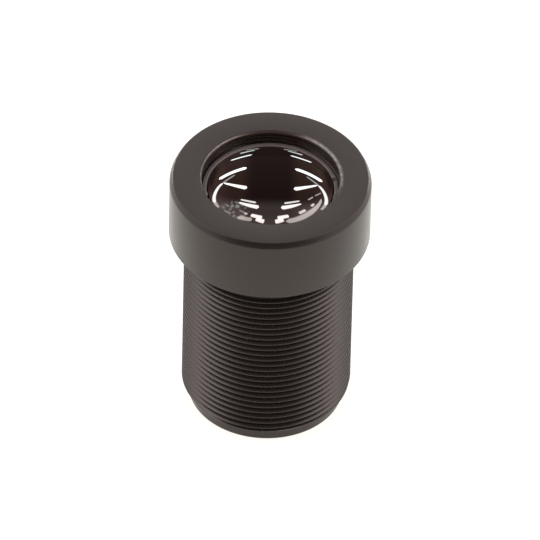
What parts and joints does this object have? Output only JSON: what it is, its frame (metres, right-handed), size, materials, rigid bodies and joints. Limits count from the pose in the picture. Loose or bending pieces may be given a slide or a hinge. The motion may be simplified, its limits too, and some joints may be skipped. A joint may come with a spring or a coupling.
{
  "type": "m12 board camera lens",
  "caption": "Small threaded board camera lens: a stepped black barrel with a recessed front glass, a stack of elements and spacers inside, and a filter at the rear.",
  "frame": {"origin": "centre of the rear face, on the optical axis", "axes": "+Z along the optical axis, from the sensor side to the front glass"},
  "size_m": [0.0142, 0.0142, 0.02],
  "materials": {
    "barrel_anodised": "matte black anodised",
    "ring_anodised": "matte black anodised",
    "spacer_black": "matte black anodised",
    "black_film": "matte",
    "coated_glass": "polished, anti-reflection coated",
    "filter_glass": "polished, infrared-cut coated"
  },
  "bodies": {
    "root": {"barrel": "barrel_anodised", "front_retaining_ring": "ring_anodised", "front_element": "coated_glass", "front_baffle": "black_film", "front_spacer": "spacer_black", "second_element": "coated_glass", "second_baffle": "black_film", "second_spacer": "spacer_black", "third_element": "coated_glass", "stop_front_spacer": "spacer_black", "aperture_stop": "black_film", "stop_rear_spacer": "spacer_black", "doublet_flint_element": "coated_glass", "doublet_crown_element": "coated_glass", "rear_spacer": "spacer_black", "rear_element": "coated_glass", "ir_cut_filter": "filter_glass", "filter_retaining_ring": "ring_anodised"}
  },
  "joints": []
}
